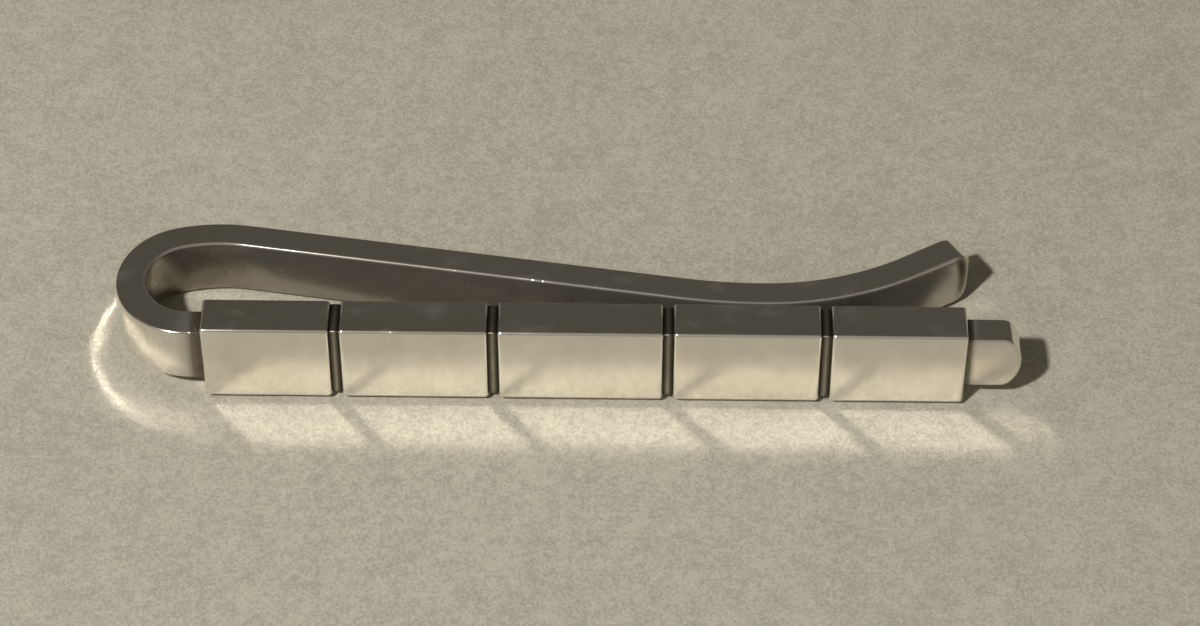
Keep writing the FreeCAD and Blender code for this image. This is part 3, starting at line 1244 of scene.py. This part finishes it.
    def patina(self, run: float, inner: float, across: float) -> float:
        """How dull the strip is: patina inside the loop and on the tongue, painted shade in the corners
        beside the blocks, and a painted reflection of the tip's shadow at the end of the tip.

        Args:
            run: place along the strip.
            inner: 0 on the outer face to 1 on the inner face.
            across: height over the strip's middle line.

        Returns:
            Share of the dull finish, and above 1 the painted dark of the shade and of the reflection on
            it.
        """
        place = self.steps[0].x - run
        left = max(self.bar_start - place, 0.0) / self.bend_shade_reach
        right = max(place - self.bar_end, 0.0) / self.tongue_shade_reach
        beside = max(left, right)
        # painted shade next to the blocks' ends; above 1 it turns into the painted dark colour
        block_shade = math.exp(-beside ** 2) * (self.block_shade_strength if beside > 0 else 1.0)
        beyond_leg = run - self.runs[self.leg_end]
        loop = self.inner_patina[0][1]
        for (low, first), (high, second) in zip(self.inner_patina, self.inner_patina[1:]):
            loop += (second - first) * share_between(beyond_leg, low, high)
        # painted reflection of the tip's shadow, added to the inner dullness
        loop += self.tip_shadow_reflection(run, across)
        tongue = self.tongue_patina if place > self.bar_end else 0.0
        bright_share = 1 - self.edge_radius / self.thickness
        inside = max(inner - bright_share, 0.0) / (1 - bright_share)
        outside = max(1 - inner - bright_share, 0.0) / (1 - bright_share)
        return max(tongue * outside, loop * inside, block_shade)

    def blank(self, name: str, first: int, last: int, start: EndShape, end: EndShape) -> bpy.types.Object:
        """Make a flat stretch of the strip, with X along its run.

        Args:
            name: the object's name.
            first: number of the path's point where it starts.
            last: number of the point where it ends.
            start: shape of its start.
            end: shape of its end.

        Returns:
            An object with a closed mesh.
        """
        bm = bmesh.new()
        # per vertex: patina, painted shade beside the blocks and the painted reflection at the tip
        patina = bm.verts.layers.float.new("patina")
        rims = self.rims()
        shares = [step / self.across_steps for step in range(1, self.across_steps)]
        loops = []
        for column in self.columns(first, last, start, end):
            ring = [(*column(inset), place) for inset, place in rims]
            run, reach, top = ring[-1]
            over = [(run, reach * (1 - 2 * share), top) for share in shares]
            back = [(run, -reach, place) for run, reach, place in reversed(ring)]
            under = [(run, -reach * (1 - 2 * share), -top) for share in shares]
            hollow, crown = self.section(run)
            loop = []
            for run, across, place in ring + over + back + under:
                outwards = (2 * across / self.width) ** 2
                inner = 0.5 + place / self.thickness
                shift = (1 - inner) * hollow * (1 - outwards) - inner * (crown * outwards + self.ease(run))
                vertex = bm.verts.new((run * MM, (place + shift) * MM, across * MM))
                vertex[patina] = self.patina(run, inner, across)
                loop.append(vertex)
            loops.append(loop)
        for loop, other in zip(loops, loops[1:]):
            for step in range(len(loop)):
                following = (step + 1) % len(loop)
                bm.faces.new((loop[step], loop[following], other[following], other[step]))
        for loop, shape in ((loops[0], start), (loops[-1], end)):
            if shape is EndShape.CUT:
                cap = bm.faces.new(loop)
                for edge in cap.edges:
                    edge.smooth = False
        bmesh.ops.remove_doubles(bm, verts=bm.verts, dist=WELD_DISTANCE)
        return new_object(name, mesh_from(bm, name))

    def path(self) -> bpy.types.Object:
        """The middle line as a curve.

        Returns:
            A curve object for the bend to follow.
        """
        curve = bpy.data.curves.new("strip_path", "CURVE")
        curve.dimensions = "3D"
        line = curve.splines.new("POLY")
        line.points.add(len(self.steps) - 1)
        for point, step in zip(line.points, self.steps):
            point.co = (step.x * MM, step.y * MM, 0.0, 1.0)
        return new_object("strip_path", curve)

    def build(self, polished: bpy.types.Material) -> list[bpy.types.Object]:
        """Make the three pieces of the strip, set the leg and the arm on their bodies, and bake the bend's
        place into its mesh.

        Args:
            polished: finish of the strip.

        Returns:
            The leg, the bend and the arm.
        """
        last = len(self.steps) - 1
        cut = EndShape.CUT
        path = self.path()
        pieces = []
        for name, node, first, end, shapes in (
            ("strip_front_leg", "front_strip", 0, self.leg_end, (EndShape.TONGUE, cut)),
            ("strip_hairpin_bend", "hairpin_bend", self.leg_end, self.bend_end, (cut, cut)),
            ("strip_spring_arm", "spring_arm", self.bend_end, last, (cut, EndShape.TIP)),
        ):
            piece = self.blank(name, first, end, *shapes)
            self.tree.apply(
                piece, {"Path": path, "Middle height": self.middle_z * MM, "Finish": polished}
            )
            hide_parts(node)
            pieces.append(piece)
        bpy.data.objects.remove(path)
        leg, bend, arm = pieces
        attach(leg, Body.BAR.value)
        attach(arm, Body.ARM.value)
        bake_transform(bend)
        return pieces


# Table, light and camera


@dataclass(frozen=True)
class Studio:
    """A pale table, one soft lamp from the front left, a dim room and the camera."""

    table_size: float = 3000.0
    lamp_place: Triple = (-187.0, -220.0, 360.0)
    lamp_target: Triple = (0.0, 1.5, 0.0)
    lamp_diameter: float = 30.0
    lamp_power: float = 2.05
    lamp_colour: Colour = (1.0, 0.985, 0.955)
    room_back: Colour = (0.072, 0.067, 0.053)
    room_front: Colour = (0.28, 0.265, 0.23)
    room_span: Pair = (-0.55, 0.25)
    camera_focal_px: float = 3764.0
    camera_place: Triple = (2.94, -153.26, 166.48)
    camera_elevation: float = 46.27
    camera_yaw: float = -0.67
    camera_roll: float = 0.10
    camera_clip: float = 10.0
    sensor_width: float = 36.0

    def table(self, finish: bpy.types.Material) -> bpy.types.Object:
        """Lay the table top under the clip, which leans back on the lower edge of its arm.

        The clip's weight is behind the bar, so it stands on the bar's lower back edge and on the
        arm where this reaches furthest back. The table goes through both lines.

        Args:
            finish: the table's material.

        Returns:
            The table top.
        """
        bar_low, bar_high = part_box("centre_block")
        bend_low, bend_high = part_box("hairpin_bend")
        lean = math.atan2(bend_low.z - bar_low.z, bend_high.y - bar_high.y)
        pivot = Vector((0.0, bar_high.y, bar_low.z))
        half = self.table_size * MM / 2
        square = ((-half, -half), (half, -half), (half, half), (-half, half))
        mesh = bpy.data.meshes.new("table_top")
        mesh.from_pydata([(x, y, 0.0) for x, y in square], [], [range(len(square))])
        mesh.transform(Matrix.Translation(pivot) @ Matrix.Rotation(lean, 4, "X"))
        mesh.materials.append(finish)
        top = new_object("table_top", mesh)
        return top

    def lamp(self) -> bpy.types.Object:
        """Hang the lamp.

        Returns:
            The lamp.
        """
        light = bpy.data.lights.new("soft_lamp", "AREA")
        light.shape = "DISK"
        light.size = self.lamp_diameter * MM
        light.energy = self.lamp_power
        light.color = self.lamp_colour
        lamp = new_object("soft_lamp", light)
        beam = Vector(self.lamp_target) - Vector(self.lamp_place)
        lamp.location = Vector(self.lamp_place) * MM
        lamp.rotation_mode = "QUATERNION"
        lamp.rotation_quaternion = beam.to_track_quat("-Z", "Y")
        return lamp

    def room(self) -> bpy.types.World:
        """A dim room, darker behind the clip than in front of it.

        Returns:
            The world.
        """
        world = bpy.data.worlds.new("dim_room")
        world.use_nodes = True
        graph = Graph(world.node_tree)
        direction = graph.node("ShaderNodeTexCoord").outputs["Generated"]
        away = graph.signal("ShaderNodeSeparateXYZ", None, {"Vector": direction}, "Y")
        front = 1.0 - away.within(*self.room_span)
        colour = graph.mixed(front, self.room_back, self.room_front)
        background = graph.node("ShaderNodeBackground", None, {"Color": colour, "Strength": 1.0})
        graph.node("ShaderNodeOutputWorld", None, {"Surface": background.outputs["Background"]})
        bpy.context.scene.world = world
        return world

    def camera(self) -> bpy.types.Object:
        """Set up the camera at the photograph's angle.

        Returns:
            The camera.
        """
        lens = bpy.data.cameras.new("camera")
        lens.sensor_fit = "HORIZONTAL"
        lens.sensor_width = self.sensor_width
        lens.lens = self.camera_focal_px / IMAGE_WIDTH * self.sensor_width
        lens.clip_start = self.camera_clip * MM
        camera = new_object("camera", lens)
        elevation = math.radians(self.camera_elevation)
        yaw = math.radians(self.camera_yaw)
        view = Vector((
            math.sin(yaw) * math.cos(elevation),
            math.cos(yaw) * math.cos(elevation),
            -math.sin(elevation),
        ))
        level = Vector((math.cos(yaw), -math.sin(yaw), 0.0))
        upright = level.cross(view)
        roll = math.radians(self.camera_roll)
        right = level * math.cos(roll) + upright * math.sin(roll)
        up = upright * math.cos(roll) - level * math.sin(roll)
        turn = Matrix((right, up, -view)).transposed().to_4x4()
        camera.matrix_world = Matrix.Translation(Vector(self.camera_place) * MM) @ turn
        bpy.context.scene.camera = camera
        return camera

    def build(self, table_finish: bpy.types.Material) -> None:
        """Make everything that isn't part of the clip.

        Args:
            table_finish: the table's material.
        """
        self.table(table_finish)
        self.lamp()
        self.room()
        self.camera()
        scene = bpy.context.scene
        scene.view_settings.view_transform = "Standard"
        scene.cycles.blur_glossy = 0.0
        scene.cycles.sample_clamp_indirect = 0.0
        scene.cycles.use_guiding = True


def main() -> None:
    """Build the clip, dress it, and set it on its table."""
    logging.basicConfig(level=logging.INFO, format="%(name)s: %(message)s")
    polished = PolishedSilver().material()
    oxidised = OxidisedSilver().material()
    pieces = SpringStrip().build(polished)
    pieces += BlockRow().build(polished, oxidised)
    for piece in pieces:
        LOG.info("%s has %d faces", piece.name, len(piece.data.polygons))
    Studio().build(PaleTable().material())


if __name__ == "__main__":
    main()
